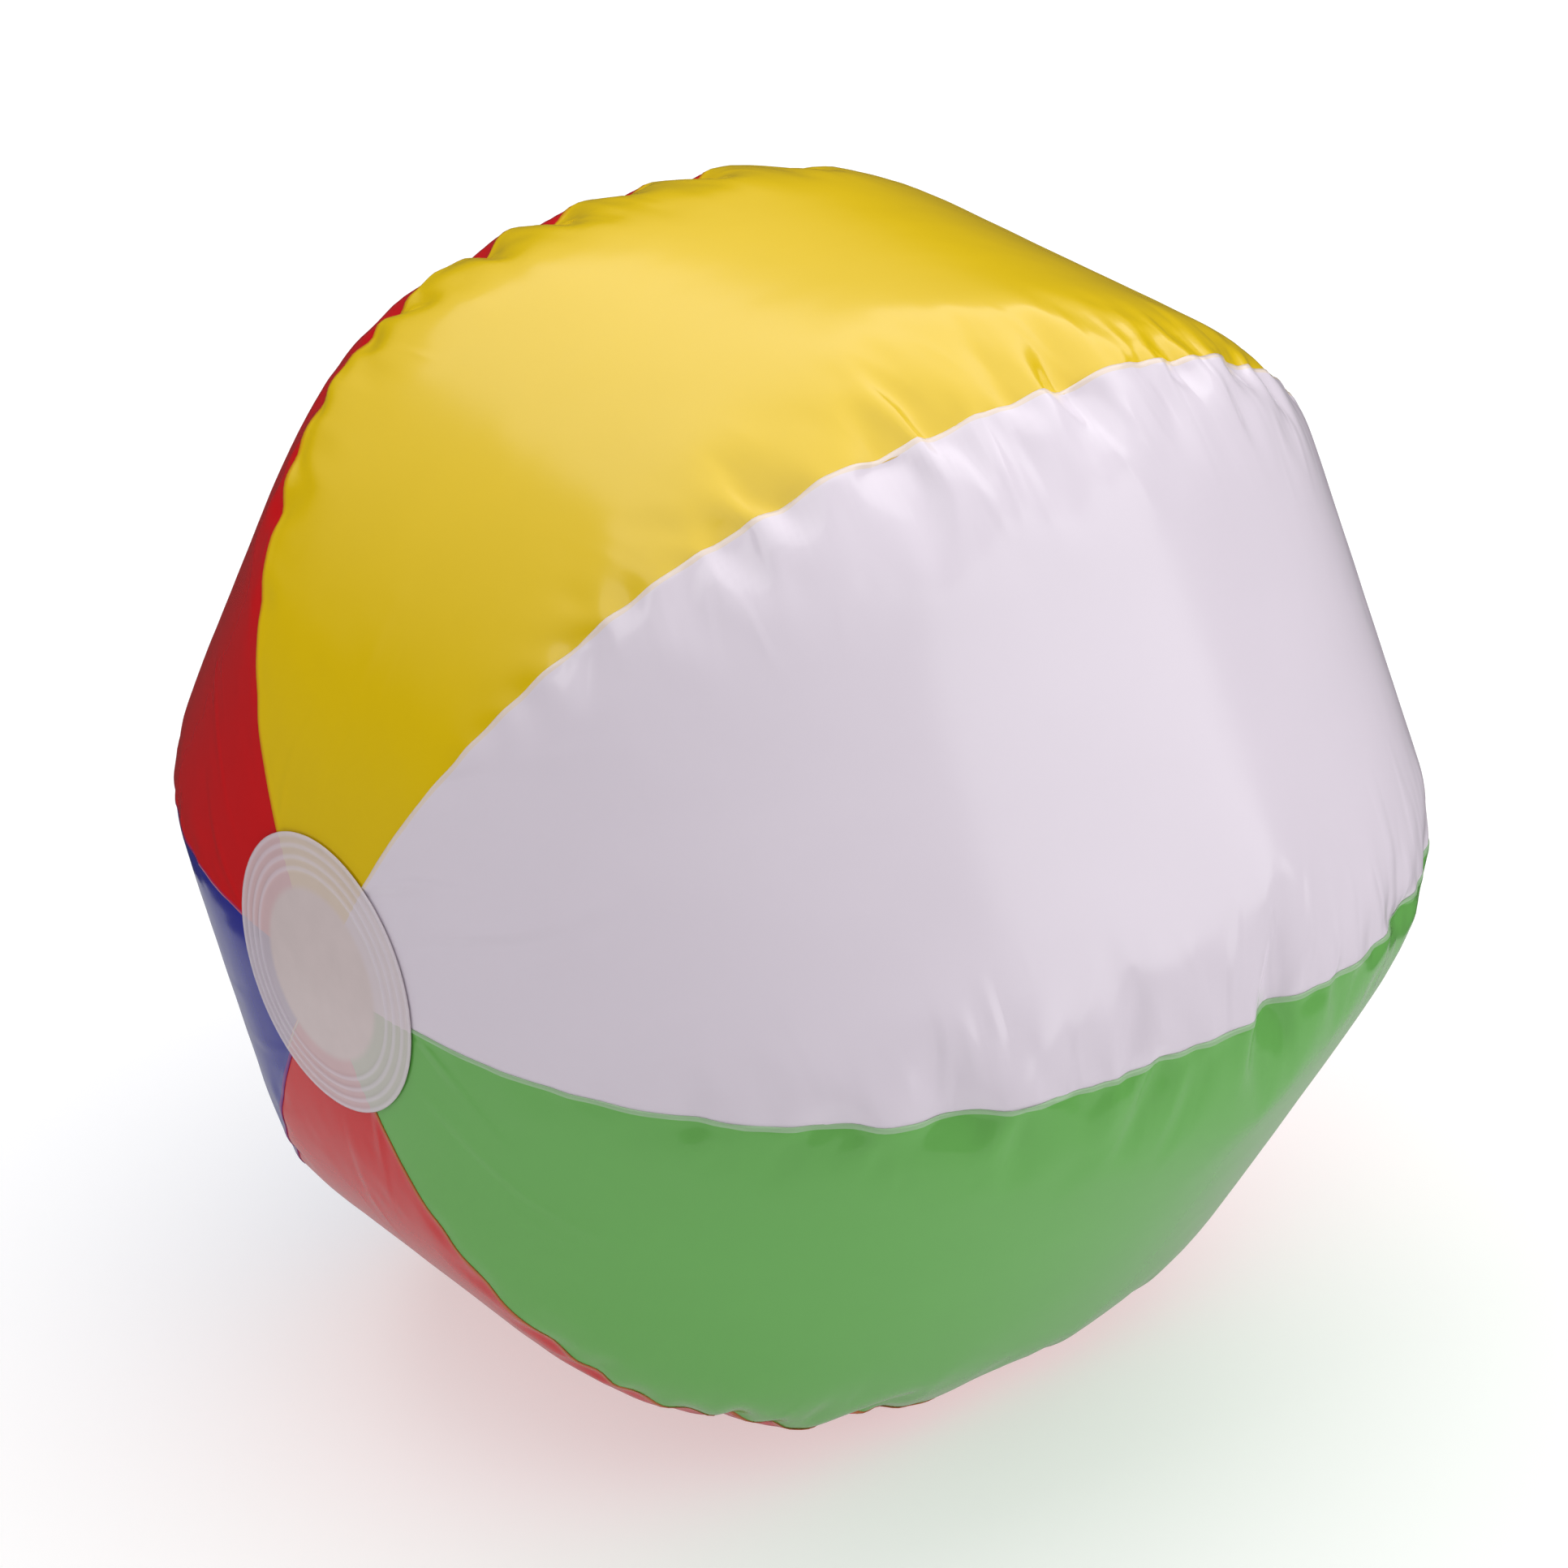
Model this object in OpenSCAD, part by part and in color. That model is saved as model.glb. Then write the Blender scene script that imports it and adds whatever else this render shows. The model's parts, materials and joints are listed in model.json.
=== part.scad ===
// Inflatable beach ball: six vinyl panels welded into a ball, a clear disc over the
// panel tips at each pole, and a push-in inflation valve with its plug.
// The axis through the poles lies along X, and the ball rests on its lower red panel.

/* [Ball] */
// Distance from the centre to the middle of a panel at the belly
belly_r = 170; // [130:1:240]
// Distance from the centre to each pole
pole_r = 171; // [130:1:240]
// Fullness of a panel from pole to pole, where 2 is a circle
fullness = 2.32; // [2:0.02:2.6]
// Sharpness of the seam corners at the belly, where 2 is round
corner_power = 10.7; // [3:0.1:12]
// Depth by which the film flattens where the ball rests
rest_depth = 1.7; // [0.6:0.1:4]

/* [Film] */
// Thickness of the vinyl film
film_t = 0.25; // [0.15:0.05:0.5]
// Width of the lap weld between two panels
lap_w = 3; // [2:0.5:6]

/* [Pole discs] */
// Radius of each clear pole disc
disc_r = 42; // [36:1:52]
// Thickness of the disc film
disc_t = 0.3; // [0.2:0.05:0.6]
// Radius at which the panel tips end under the disc
tip_r = 26; // [15:1:32]

/* [Valve] */
// Distance of the valve from the axis through the poles
valve_r = 78; // [70:1:90]
// Radius of the flange that is welded to the panel
flange_r = 14.5; // [13:0.5:18]
// Thickness of the flange
flange_t = 0.8; // [0.5:0.1:1.5]
// Radius of the hole through the flange and the panel
hole_r = 7.6; // [7:0.1:9]
// Radius of the bore that takes the nozzle of a pump
bore_r = 3; // [2:0.1:3.2]
// Thickness of the stem wall round the pump bore
stem_wall = 1.8; // [1.2:0.1:2]
// Depth of the stem below the flange when it is pushed in
stem_depth = 9.5; // [7.5:0.5:14]
// Thickness of the folding cuff between the flange and the stem
cuff_t = 0.4; // [0.3:0.05:0.6]

/* [Plug] */
// Radius of the plug cap
cap_r = 5.8; // [5.2:0.1:6.4]
// Thickness of the plug cap
cap_t = 1.2; // [0.8:0.1:2]
// Length of the spigot that closes the stem
spigot_l = 3.5; // [2.5:0.1:4]
// Distance from the stem axis to the bend of the strap
strap_reach = 10; // [9:0.5:12]
// Width of the strap
strap_w = 3.2; // [2:0.2:5]
// Thickness of the strap
strap_t = 0.6; // [0.4:0.1:1]
// Length of the finger tab past the cap edge
tab_l = 4; // [2:0.5:6]

/* [Hidden] */

$fn = 96;
panel_angle = 60;         // six equal panels
// Panel order round the axis, counted from the lowest panel towards the front
red_lower_turn = 0;
green_turn = 1;
white_turn = 2;
yellow_turn = 3;
red_upper_turn = 4;
blue_turn = 5;

belly_steps = 40;         // stations of a panel between the two discs
tip_steps = 4;            // stations of a panel under each disc
panel_steps = 8;          // columns across a panel between its two laps
ramp_w = lap_w / 2;       // width over which a panel rises onto its neighbour
probe = 0.5;              // angle step that measures the surface direction

seat_drop = 0.3;          // the flat seat of the valve lies this far below the crown
seat_flat_r = flange_r + belly_r / 10;    // flat under the flange and one cell round it
seat_edge_r = seat_flat_r + 11;           // and meets the curved film here
slack = 0.05;             // gap between moulded pieces that only touch
play = 0.1;               // gap round pieces that move

// ---- Shape of the inflated film ----
// A point of the film is named by t, the angle from the near pole to the far pole,
// and psi, the turn round the axis from the lowest point towards the front.

function clamp01(v) = min(1, max(0, v));
function smooth(v) = clamp01(v) * clamp01(v) * (3 - 2 * clamp01(v));
function girth(t) = pow(sin(t), 2 / fullness);
function angle_of_radius(r) = asin(pow(r / belly_r, fullness / 2));
function along(t) = -sign(cos(t)) * pole_r * pow(abs(cos(t)), 2 / fullness);

// The seams stand out as corners, and fade to a circle under the discs
function facing(psi, turn) = max(0, cos(psi - turn * panel_angle));
function hexagon(psi) = pow(
    facing(psi, 0) ^ corner_power + facing(psi, 1) ^ corner_power +
    facing(psi, 2) ^ corner_power + facing(psi, 3) ^ corner_power +
    facing(psi, 4) ^ corner_power + facing(psi, 5) ^ corner_power, -1 / corner_power);
function corner_share(t) = smooth((girth(t) * belly_r - disc_r) / disc_r);
middle_r = hexagon(0);
function radius(t, psi) =
    belly_r * girth(t) * (1 + corner_share(t) * (hexagon(psi) / middle_r - 1));

function round_point(t, psi) =
    let (r = radius(t, psi)) [along(t), -r * sin(psi), -r * cos(psi)];

// The flange of the valve flattens the film round it
valve_psi = red_upper_turn * panel_angle;
valve_t = 180 - angle_of_radius(valve_r);
function slope(t, psi) = cross(
    round_point(t + probe, psi) - round_point(t - probe, psi),
    round_point(t, psi + probe) - round_point(t, psi - probe));
function unit(v) = v / norm(v);
valve_crown = round_point(valve_t, valve_psi);
valve_out = unit(slope(valve_t, valve_psi)) * sign(slope(valve_t, valve_psi) * valve_crown);
valve_seat = valve_crown - seat_drop * valve_out;

function seated(p) = let (
    height = (p - valve_seat) * valve_out,
    reach = norm(p - valve_seat - height * valve_out),
    share = smooth((seat_edge_r - reach) / (seat_edge_r - seat_flat_r)))
    height < -seat_edge_r ? p : p - share * height * valve_out;

// The ground flattens the lowest panel
ground = -(belly_r - rest_depth);
function rested(p) = [p.x, p.y, max(p.z, ground)];
function film(t, psi) = rested(seated(round_point(t, psi)));

function outward(t, psi) = let (
    along_seam = film(t + probe, psi) - film(t - probe, psi),
    across = film(t, psi + probe) - film(t, psi - probe),
    n = cross(along_seam, across))
    n * film(t, psi) < 0 ? -unit(n) : unit(n);
function lifted(t, psi, height) = film(t, psi) + height * outward(t, psi) - [0, 0, ground];

// ---- Panels ----

tip_t = angle_of_radius(tip_r);
rim_t = angle_of_radius(disc_r);
under_disc = [for (i = [0 : tip_steps - 1])
    angle_of_radius(tip_r + (disc_r - tip_r) * i / tip_steps)];
stations = concat(
    under_disc,
    [for (i = [0 : belly_steps]) rim_t + (180 - 2 * rim_t) * i / belly_steps],
    [for (i = [tip_steps - 1 : -1 : 0]) 180 - under_disc[i]]);

// Columns of a panel at t, as angles from the seam that it starts at
function wide(t, width) = width / (belly_r * max(girth(t), tip_r / belly_r)) * 180 / PI;
function columns(t) = let (
    first = wide(t, lap_w),
    last = panel_angle - wide(t, ramp_w))
    concat([0],
           [for (i = [0 : panel_steps]) first + (last - first) * i / panel_steps],
           [panel_angle]);
last_column = panel_steps + 2;

// One section of a panel: outer face, lap over the next panel, then inner face back
function section(t) = let (c = columns(t)) concat(
    [for (i = [0 : last_column - 1]) [c[i], 0]],
    [[panel_angle, film_t], [panel_angle + c[1], film_t], [panel_angle + c[1], 0],
     [panel_angle, 0]],
    [for (i = [last_column : -1 : 0]) [c[i], -film_t]]);
ring_size = 2 * last_column + 5;

// Two triangles of the cell a, b, c, d, cut from a to c or from b to d
function cell(a, b, c, d, a_to_c) = a_to_c ? [[a, b, c], [a, c, d]] : [[a, b, d], [b, c, d]];
function flip(faces) = [for (f = faces) [f[2], f[1], f[0]]];

// Both ends of a panel are closed by cells between its outer and inner faces
function end_cap(base) = concat(
    [for (i = [0 : last_column - 2])
        each cell(base + i, base + i + 1, base + ring_size - 2 - i,
                  base + ring_size - 1 - i, true)],
    let (a = base + last_column - 1, b = base + last_column)
    [[a, b, b + 3], [a, b + 3, b + 4], [a, b + 4, b + 5],
     [b, b + 1, b + 2], [b, b + 2, b + 3]]);

module panel(turn) {
    start = (turn - 0.5) * panel_angle;
    rows = len(stations);
    points = [for (t = stations) each
        [for (s = section(t)) lifted(t, start + s[0], s[1])]];
    sides = [for (i = [0 : rows - 2]) each [for (k = [0 : ring_size - 1]) let (
        next = (k + 1) % ring_size,
        outer = k <= last_column || k == ring_size - 1,
        near_half = stations[i] + stations[i + 1] < 180,
        a = i * ring_size)
        each cell(a + k, a + next, a + ring_size + next, a + ring_size + k,
                  outer != near_half)]];
    polyhedron(points, concat(sides, flip(end_cap(0)), end_cap((rows - 1) * ring_size)));
}

module panel_red_lower() {
    color("#c9625c") panel(red_lower_turn);
}

module panel_green() {
    color("#5fa04c") panel(green_turn);
}

module panel_white() {
    color("#e6e3ea") panel(white_turn);
}

module panel_yellow() {
    color("#f0cf3a") panel(yellow_turn);
}

module panel_red_upper() {
    color("#b3161a") difference() {
        panel(red_upper_turn);
        at_valve() translate([0, 0, -5]) cylinder(r = hole_r, h = 10);
    }
}

module panel_blue() {
    color("#2f3f96") panel(blue_turn);
}

// ---- Pole discs ----

// The disc lies on the panel tips and on their laps, ring by ring from the centre
disc_rings = concat([angle_of_radius(tip_r / 2)], under_disc, [rim_t]);
function disc_section(t) = [for (turn = [0 : 5]) let (c = columns(t)) each
    [for (i = [0 : last_column - 1])
        [(turn - 0.5) * panel_angle + c[i], i < 2 && t >= tip_t ? film_t : 0]]];
disc_columns = 6 * last_column;

function disc_layer(far, height) = [for (t = disc_rings) each [for (s = disc_section(t))
    lifted(far ? 180 - t : t, s[0], s[1] + height)]];
function pole_point(far, height) = [(far ? 1 : -1) * (pole_r + height), 0, -ground];

module pole_disc(far) {
    rings = len(disc_rings);
    layer = rings * disc_columns;
    points = concat(disc_layer(far, 0), disc_layer(far, disc_t),
                    [pole_point(far, 0), pole_point(far, disc_t)]);
    bottom = [for (i = [0 : rings - 2]) each [for (k = [0 : disc_columns - 1]) let (
        next = (k + 1) % disc_columns,
        a = i * disc_columns)
        each cell(a + k, a + next, a + disc_columns + next, a + disc_columns + k, false)]];
    top = [for (f = bottom) [f[2] + layer, f[1] + layer, f[0] + layer]];
    edge = [for (k = [0 : disc_columns - 1]) let (
        next = (k + 1) % disc_columns,
        a = layer - disc_columns)
        each cell(a + k, a + next, a + layer + next, a + layer + k, true)];
    hub = [for (k = [0 : disc_columns - 1]) let (next = (k + 1) % disc_columns)
        each [[2 * layer, next, k], [2 * layer + 1, layer + k, layer + next]]];
    faces = concat(bottom, top, edge, hub);
    polyhedron(points, far ? faces : flip(faces));
}

module pole_disc_near() {
    color("#cfc5c4", 0.8) pole_disc(false);
}

module pole_disc_far() {
    color("#cfc5c4", 0.8) pole_disc(true);
}

// ---- Valve ----
// In the valve's own frame Z points out of the ball and zero is the outer face of the film

stem_r = bore_r + stem_wall;
foot_r = hole_r - cuff_t - 2 * play;          // rim at the inner end of the stem
foot_t = 1;
mouth_r = bore_r + 0.7;                       // the bore widens to take the plug
lip_r = cap_r - 0.2;
lip_low = flange_t + play;                    // the collar sits on the flange, under the lip
lip_high = lip_low + strap_t + play;
mouth_top = lip_high + 0.5;
mouth_depth = spigot_l + 0.6;
flap_r = bore_r + 1;
flap_t = 0.5;
collar_r = lip_r + 0.8;
cap_low = mouth_top + slack;

module at_valve() {
    turn = 180 - valve_psi;
    tilt = atan2(valve_out.x, norm([valve_out.y, valve_out.z]));
    translate(valve_seat - [0, 0, ground]) rotate([turn, 0, 0]) rotate([0, tilt, 0])
        children();
}

module valve_flange() {
    color("#d8cfcc", 0.8) at_valve() rotate_extrude()
        polygon([[hole_r, 0], [flange_r, 0], [flange_r, flange_t / 2],
                 [flange_r - flange_t, flange_t], [hole_r, flange_t]]);
}

// The cuff hangs from the flange's hole and turns inside out when the stem is pulled
module valve_cuff() {
    cuff_top = hole_r - play;
    foot_top = -stem_depth + foot_t + slack;
    color("#d8cfcc", 0.8) at_valve() rotate_extrude()
        polygon([[hole_r, flange_t], [cuff_top - cuff_t, flange_t],
                 [stem_r + play, foot_top], [foot_r, foot_top],
                 [cuff_top, 0], [hole_r, 0]]);
}

module valve_stem() {
    color("#d8cfcc", 0.8) at_valve() difference() {
        union() {
            translate([0, 0, -stem_depth])
                cylinder(r = stem_r, h = stem_depth + mouth_top);
            translate([0, 0, -stem_depth])
                cylinder(r = foot_r, h = foot_t);
            translate([0, 0, lip_high])
                cylinder(r = lip_r, h = mouth_top - lip_high);
        }
        translate([0, 0, -stem_depth - 1])
            cylinder(r = bore_r, h = stem_depth + mouth_top + 2);
        translate([0, 0, mouth_top - mouth_depth])
            cylinder(r1 = bore_r, r2 = mouth_r, h = mouth_depth + slack);
    }
}

// A strap from the stem's neck or the cap's edge out to the bend
module strap_leg(from_r, low) {
    translate([-strap_reach, -strap_w / 2, low])
        cube([strap_reach - from_r, strap_w, strap_t]);
}

// The collar clips round the neck of the stem and carries the lower leg of the strap,
// which turns up to the bend at the height of the mouth
module strap_collar() {
    color("#d8cfcc", 0.8) at_valve() difference() {
        union() {
            translate([0, 0, lip_low]) cylinder(r = collar_r, h = strap_t);
            strap_leg(stem_r, lip_low);
            translate([-strap_reach, -strap_w / 2, lip_low])
                cube([strap_t, strap_w, mouth_top - slack - lip_low]);
        }
        translate([0, 0, lip_low - 1]) cylinder(r = stem_r, h = strap_t + 2);
    }
}

// The flap closes the inner end of the stem and opens inwards about the end of its tab
module check_flap() {
    color("#e2dcd8", 0.8) at_valve() translate([0, 0, -stem_depth - slack - flap_t]) {
        cylinder(r = flap_r, h = flap_t);
        translate([-stem_r, -bore_r / 2, 0]) cube([stem_r, bore_r, flap_t]);
    }
}

// The spigot tapers so that it clears the mouth as the plug swings about the strap's bend
module valve_plug() {
    swing_r = sqrt((strap_reach + mouth_r) ^ 2 - spigot_l ^ 2) - strap_reach;
    spigot_tip_r = min(bore_r, swing_r) - play;
    color("#d8cfcc", 0.8) at_valve() {
        translate([0, 0, cap_low]) cylinder(r = cap_r, h = cap_t);
        translate([0, 0, cap_low - spigot_l])
            cylinder(r1 = spigot_tip_r, r2 = mouth_r - play, h = spigot_l);
        translate([0, -strap_w / 2, cap_low + cap_t - strap_t])
            cube([cap_r + tab_l, strap_w, strap_t]);
    }
}

// The upper leg of the strap runs from the bend to the edge of the cap
module plug_strap() {
    color("#d8cfcc", 0.8) at_valve() difference() {
        strap_leg(0, cap_low);
        translate([0, 0, mouth_top - 1]) cylinder(r = cap_r, h = cap_t + 4);
    }
}

panel_red_lower();
panel_green();
panel_white();
panel_yellow();
panel_red_upper();
panel_blue();
pole_disc_near();
pole_disc_far();
valve_flange();
valve_cuff();
valve_stem();
strap_collar();
check_flap();
valve_plug();
plug_strap();
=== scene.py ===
import functools
import json
import math

import bpy
import numpy as np
from bpy.props import FloatProperty, FloatVectorProperty, IntProperty, PointerProperty
from mathutils import Matrix, Vector


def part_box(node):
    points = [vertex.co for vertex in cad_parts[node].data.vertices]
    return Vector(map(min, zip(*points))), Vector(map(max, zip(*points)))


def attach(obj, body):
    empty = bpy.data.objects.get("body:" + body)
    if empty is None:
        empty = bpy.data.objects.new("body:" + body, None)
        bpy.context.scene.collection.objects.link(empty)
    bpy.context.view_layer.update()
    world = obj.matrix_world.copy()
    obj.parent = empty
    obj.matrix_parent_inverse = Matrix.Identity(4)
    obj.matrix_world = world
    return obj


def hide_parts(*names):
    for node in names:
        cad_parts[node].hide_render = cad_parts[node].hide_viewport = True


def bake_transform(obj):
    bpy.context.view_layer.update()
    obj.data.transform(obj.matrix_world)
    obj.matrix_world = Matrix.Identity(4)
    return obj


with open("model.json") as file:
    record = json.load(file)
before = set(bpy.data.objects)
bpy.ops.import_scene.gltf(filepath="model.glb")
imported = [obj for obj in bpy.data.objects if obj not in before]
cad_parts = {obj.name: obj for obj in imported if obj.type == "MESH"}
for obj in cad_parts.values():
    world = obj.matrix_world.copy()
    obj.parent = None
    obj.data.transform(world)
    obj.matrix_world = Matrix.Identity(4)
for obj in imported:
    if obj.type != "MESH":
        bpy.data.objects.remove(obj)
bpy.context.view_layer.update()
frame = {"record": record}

bl_info = {
    "name": "Inflatable Beach Ball",
    "version": (1, 0, 0),
    "blender": (4, 5, 0),
    "location": "View3D > Sidebar > Beach Ball",
    "description": "Builds a six-panel vinyl beach ball with clear pole discs and a push-in valve",
    "category": "Mesh",
}

MM = 0.001

# ---- Places and sizes that the frame gives ----

DISC_LOW, DISC_HIGH = (Vector(corner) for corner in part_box("pole_disc_near"))
CENTRE = Vector((0, 0, (DISC_LOW.z + DISC_HIGH.z) / 2))
DISC_R = (DISC_HIGH.y - DISC_LOW.y) / 2
POLE_R = -DISC_LOW.x
BELLY_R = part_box("panel_yellow")[1][2] - CENTRE.z

# The valve has a frame of its own: Z points out of the ball, Y along the hinge of the flap,
# and zero is the outer face of the film
PUMP_BORE = next(m for m in frame["record"]["mounts"] if m["name"] == "pump_bore")
BORE_R = PUMP_BORE["dims"]["r_mm"] * MM
BORE_L = PUMP_BORE["dims"]["length_mm"] * MM
HINGES = {joint["name"]: joint for joint in frame["record"]["behaviour"]["joints"]}
STEM_END = -9.5 * MM                      # inner end of the stem and of the pump bore
VALVE_OUT = Vector(PUMP_BORE["axis"]).normalized()
VALVE_SIDE = Vector(HINGES["flap_hinge"]["axis"]).normalized()
VALVE_SEAT = Vector(PUMP_BORE["pos_m"]) - VALVE_OUT * (STEM_END + BORE_L / 2)
VALVE_FRAME = Matrix((VALVE_SIDE.cross(VALVE_OUT), VALVE_SIDE, VALVE_OUT)).transposed().to_4x4()
VALVE_FRAME.translation = VALVE_SEAT

# The panels in their order round the ball, from the lowest one towards the front
PANELS = ("red_lower", "green", "white", "yellow", "red_upper", "blue")
PANEL_ANGLE = math.radians(60)
EDGE_SLOPE = math.tan(PANEL_ANGLE / 2)    # half of a facet's width, as a share of its distance


# ---- Settings ----

def hex_linear(text):
    """The linear colour of an sRGB hex value."""
    channels = [int(text[i:i + 2], 16) / 255 for i in (1, 3, 5)]
    return [c / 12.92 if c <= 0.04045 else ((c + 0.055) / 1.055) ** 2.4 for c in channels]


def colour_setting(words, value):
    return FloatVectorProperty(name=words, description=words + ", as a linear colour",
                               default=hex_linear(value), size=3, subtype="COLOR",
                               min=0, max=1)


class BallSizes(bpy.types.PropertyGroup):
    film: FloatProperty(
        name="Film", description="Thickness of the vinyl film",
        default=0.25 * MM, unit="LENGTH")
    lap: FloatProperty(
        name="Lap", description="Width of the lap weld between two panels",
        default=1.7 * MM, unit="LENGTH")
    fullness: FloatProperty(
        name="Fullness", description="Roundness of a panel from pole to pole, 2 is a circle",
        default=2.4, min=2, max=2.6)
    narrowing: FloatProperty(
        name="Narrowing", description="Width of a panel at the belly, as a share of a flat facet's",
        default=0.967, min=0.9, max=1)
    tip_r: FloatProperty(
        name="Tip radius", description="Distance from the pole at which the panel tips end",
        default=26 * MM, unit="LENGTH")
    rows: IntProperty(
        name="Rows", description="Rows of film cells from pole to pole", default=118, min=60)
    half_columns: IntProperty(
        name="Half columns", description="Columns of film cells across half a panel",
        default=11, min=6)
    pressure: FloatProperty(
        name="Pressure", description="Air pressure that swells the film", default=60)
    frames: IntProperty(
        name="Frames", description="Frames of the inflation", default=40, min=10)


class BallColours(bpy.types.PropertyGroup):
    red: colour_setting("Red vinyl", "#ce0c14")
    green: colour_setting("Green vinyl", "#6aaf56")
    white: colour_setting("White vinyl", "#e1d7e3")
    yellow: colour_setting("Yellow vinyl", "#e0bd00")
    blue: colour_setting("Blue vinyl", "#282b92")
    clear: colour_setting("Clear vinyl", "#dccccc")
    floor: colour_setting("Studio floor", "#f4f4f4")


def sizes():
    return bpy.context.scene.ball_sizes


def colour(name, share=1.0):
    """A colour of the settings, at a share of its brightness."""
    return (*[share * c for c in getattr(bpy.context.scene.ball_colours, name)], 1)


# ---- Mesh helpers ----

def deselect():
    bpy.ops.object.select_all(action="DESELECT")


def make_active(piece):
    deselect()
    piece.select_set(True)
    bpy.context.view_layer.objects.active = piece


def sheet_mesh(name, points, faces):
    mesh = bpy.data.meshes.new(name)
    mesh.from_pydata([tuple(p) for p in points], [], faces)
    mesh.update()
    piece = bpy.data.objects.new(name, mesh)
    bpy.context.collection.objects.link(piece)
    return piece


def finish_with(piece, kind, **settings):
    """Adds a modifier with its settings and applies it."""
    make_active(piece)
    modifier = piece.modifiers.new(kind.title(), kind)
    for key, value in settings.items():
        setattr(modifier, key, value)
    bpy.ops.object.modifier_apply(modifier=modifier.name)


def smooth_step(share):
    share = np.clip(share, 0, 1)
    return share * share * (3 - 2 * share)


def set_uv(piece, name, values):
    """A UV map whose coordinates are given for each vertex."""
    layer = piece.data.uv_layers.new(name=name)
    corners = np.empty(len(piece.data.loops), dtype=int)
    piece.data.loops.foreach_get("vertex_index", corners)
    layer.data.foreach_set("uv", np.asarray(values)[corners].astype(np.float32).ravel())


# ---- The film: cut flat, welded, inflated ----

class FlatPanel:
    """The flat cut of a panel, and the long six-sided dome that six of them make unstretched."""

    def __init__(self):
        size = sizes()
        samples = 4001
        turn = np.linspace(0, math.pi, samples)
        ring = BELLY_R * np.abs(np.sin(turn)) ** (2 / size.fullness)
        along = -np.sign(np.cos(turn)) * POLE_R * np.abs(np.cos(turn)) ** (2 / size.fullness)
        length = np.concatenate([[0], np.cumsum(np.hypot(np.diff(along), np.diff(ring)))])
        share = smooth_step((ring - DISC_R) / (BELLY_R - DISC_R))
        self.length = length[-1]
        self.place = np.linspace(0, self.length, len(length))
        self.apothem = np.interp(
            self.place, length, ring * (1 - (1 - size.narrowing) * share))
        rise = np.clip(np.gradient(self.apothem, self.place), -1, 1)
        run = np.sqrt(1 - ((rise[1:] + rise[:-1]) / 2) ** 2)
        dome = np.concatenate([[0], np.cumsum(run * np.diff(self.place))])
        self.dome = dome - dome[-1] / 2

    def half_width(self, place):
        return np.interp(place, self.place, self.apothem) * EDGE_SLOPE

    def area(self):
        inside = (self.place > sizes().tip_r) & (self.place < self.length - sizes().tip_r)
        width = 2 * self.apothem[inside] * EDGE_SLOPE + sizes().lap
        return float(np.sum(width) * (self.place[1] - self.place[0]))

    def on_dome(self, place, share, panel):
        """A point of the dome: place along the panel, share of its half width, panel number."""
        from_pole = min(place, self.length - place)
        round_rows = 1 - smooth_step((from_pole - DISC_R) / (2 * DISC_R))
        cosine = math.cos(math.atan(share * EDGE_SLOPE))
        from_pole *= 1 - round_rows * (1 - cosine)
        bent = from_pole if place < self.length / 2 else self.length - from_pole
        out = np.interp(bent, self.place, self.apothem)
        side = share * EDGE_SLOPE * out
        c, s = math.cos(panel * PANEL_ANGLE), math.sin(panel * PANEL_ANGLE)
        x = np.interp(bent, self.place, self.dome)
        return x, -(out * s + side * c), -(out * c - side * s)


def column_shares(half_width):
    """Columns across a panel from -1 to just under 1: the laps keep their width, and the
    columns draw closer towards the seams."""
    size = sizes()
    closeness = 1.25
    steps = np.linspace(0, 1, size.half_columns) ** closeness
    from_seam = np.concatenate([[0], size.lap + steps * (half_width - size.lap)])
    shares = 1 - from_seam / half_width
    return np.concatenate([-shares, shares[-2:0:-1]])


def welded_dome(cut, rows):
    """Points and faces of the six panels welded edge to edge, closed by a cap at each pole."""
    shares = [column_shares(cut.half_width(row)) for row in rows]
    points = [cut.on_dome(row, share, panel)
              for row, across in zip(rows, shares) for panel in range(6) for share in across]
    ring = 6 * len(shares[0])
    faces = []
    for i in range(len(rows) - 1):
        for k in range(ring):
            a, b = i * ring + k, i * ring + (k + 1) % ring
            faces.append((a, a + ring, b + ring, b))
    last = (len(rows) - 1) * ring
    near, far = len(points), len(points) + 1
    points += [(cut.dome[0], 0, 0), (cut.dome[-1], 0, 0)]
    for k in range(ring):
        after = (k + 1) % ring
        faces.append((near, k, after))
        faces.append((far, last + after, last + k))
    return np.array(points), faces, np.array(shares)


def swell(piece):
    """Air pressure on stiff, thin cloth: the panels crown and the seams pucker."""
    size = sizes()
    cloth = piece.modifiers.new("Inflation", "CLOTH")
    film = cloth.settings
    film.effector_weights.gravity = 0
    film.mass = 0.01
    film.quality = 6
    film.tension_stiffness = 200
    film.compression_stiffness = 200
    film.shear_stiffness = 67
    film.bending_stiffness = 0.05
    film.tension_damping = 5
    film.compression_damping = 5
    film.shear_damping = 5
    film.bending_damping = 0.5
    film.air_damping = 2
    film.use_pressure = True
    film.uniform_pressure_force = size.pressure
    cloth.collision_settings.use_collision = False
    cloth.point_cache.frame_end = size.frames
    scene = bpy.context.scene
    scene.frame_end = size.frames
    for frame_number in range(1, size.frames + 1):
        scene.frame_set(frame_number)
    make_active(piece)
    bpy.ops.object.modifier_apply(modifier=cloth.name)


def flatten_valve_seat(points):
    """The stiff flange of the valve flattens the film under and round it."""
    flat_r = 17 * MM
    edge_r = 42 * MM
    out = np.array(VALVE_OUT)
    offset = points - np.array(VALVE_SEAT)
    height = offset @ out
    reach = np.linalg.norm(offset - height[..., None] * out, axis=-1)
    share = smooth_step((edge_r - reach) / (edge_r - flat_r))
    share = np.where(height > -edge_r, share, 0)
    return points - (share * height)[..., None] * out


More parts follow.
